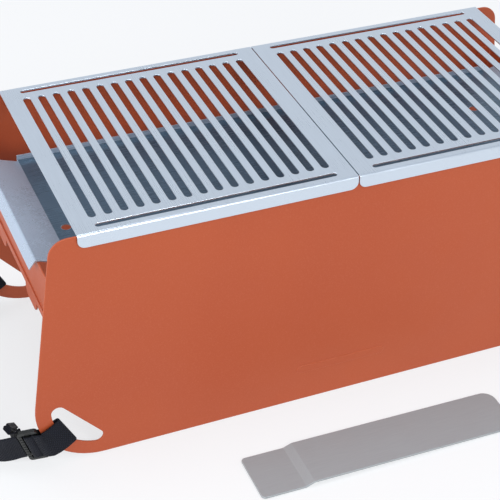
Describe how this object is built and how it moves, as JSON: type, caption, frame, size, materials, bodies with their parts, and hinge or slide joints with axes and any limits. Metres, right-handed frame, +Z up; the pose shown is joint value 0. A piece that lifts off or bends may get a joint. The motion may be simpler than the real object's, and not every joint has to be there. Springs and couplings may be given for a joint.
{
  "type": "hibachi grill",
  "caption": "Table-top charcoal grill: painted sheet-steel panels and end rails, lift-out tray, slotted lift-off grates, carry strap and a steel grate lifter.",
  "frame": {"origin": "on the table, midway in X and Y of the box round the grill and its lifter, strap left out", "axes": "+X along the grill towards the end without the strap, -Y towards the cook and the lifter, +Z up"},
  "size_m": [0.6733, 0.3524, 0.244],
  "materials": {
    "paint": "satin terracotta enamel",
    "stainless": "satin, brushed along the grates",
    "tray_steel": "satin",
    "lifter_steel": "matt satin",
    "webbing": "black woven webbing",
    "plastic": "black moulded"
  },
  "bodies": {
    "frame": {"front_panel": "paint", "rear_panel": "paint", "left_end_rail": "paint", "right_end_rail": "paint", "front_strap_loop": "webbing", "front_strap_buckle": "plastic", "front_strap_tail": "webbing", "rear_strap_loop": "webbing", "rear_strap_buckle": "plastic", "rear_strap_tail": "webbing", "carry_strap": "webbing"},
    "charcoal_tray": {"charcoal_tray": "tray_steel"},
    "left_grate": {"left_grate": "stainless"},
    "right_grate": {"right_grate": "stainless"},
    "grate_lifter": {"grate_lifter": "lifter_steel"}
  },
  "joints": [
    {"name": "left_grate_lift", "type": "slide", "parent": "frame", "child": "left_grate", "axis": [0, 0, 1], "range_m": [0, 0.1]},
    {"name": "right_grate_lift", "type": "slide", "parent": "frame", "child": "right_grate", "axis": [0, 0, 1], "range_m": [0, 0.1]},
    {"name": "tray_lift", "type": "slide", "parent": "frame", "child": "charcoal_tray", "axis": [0, 0, 1], "range_m": [0, 0.045]},
    {"name": "lifter_lift", "type": "slide", "parent": "frame", "child": "grate_lifter", "axis": [0, 0, 1], "range_m": [0, 0.1]}
  ]
}
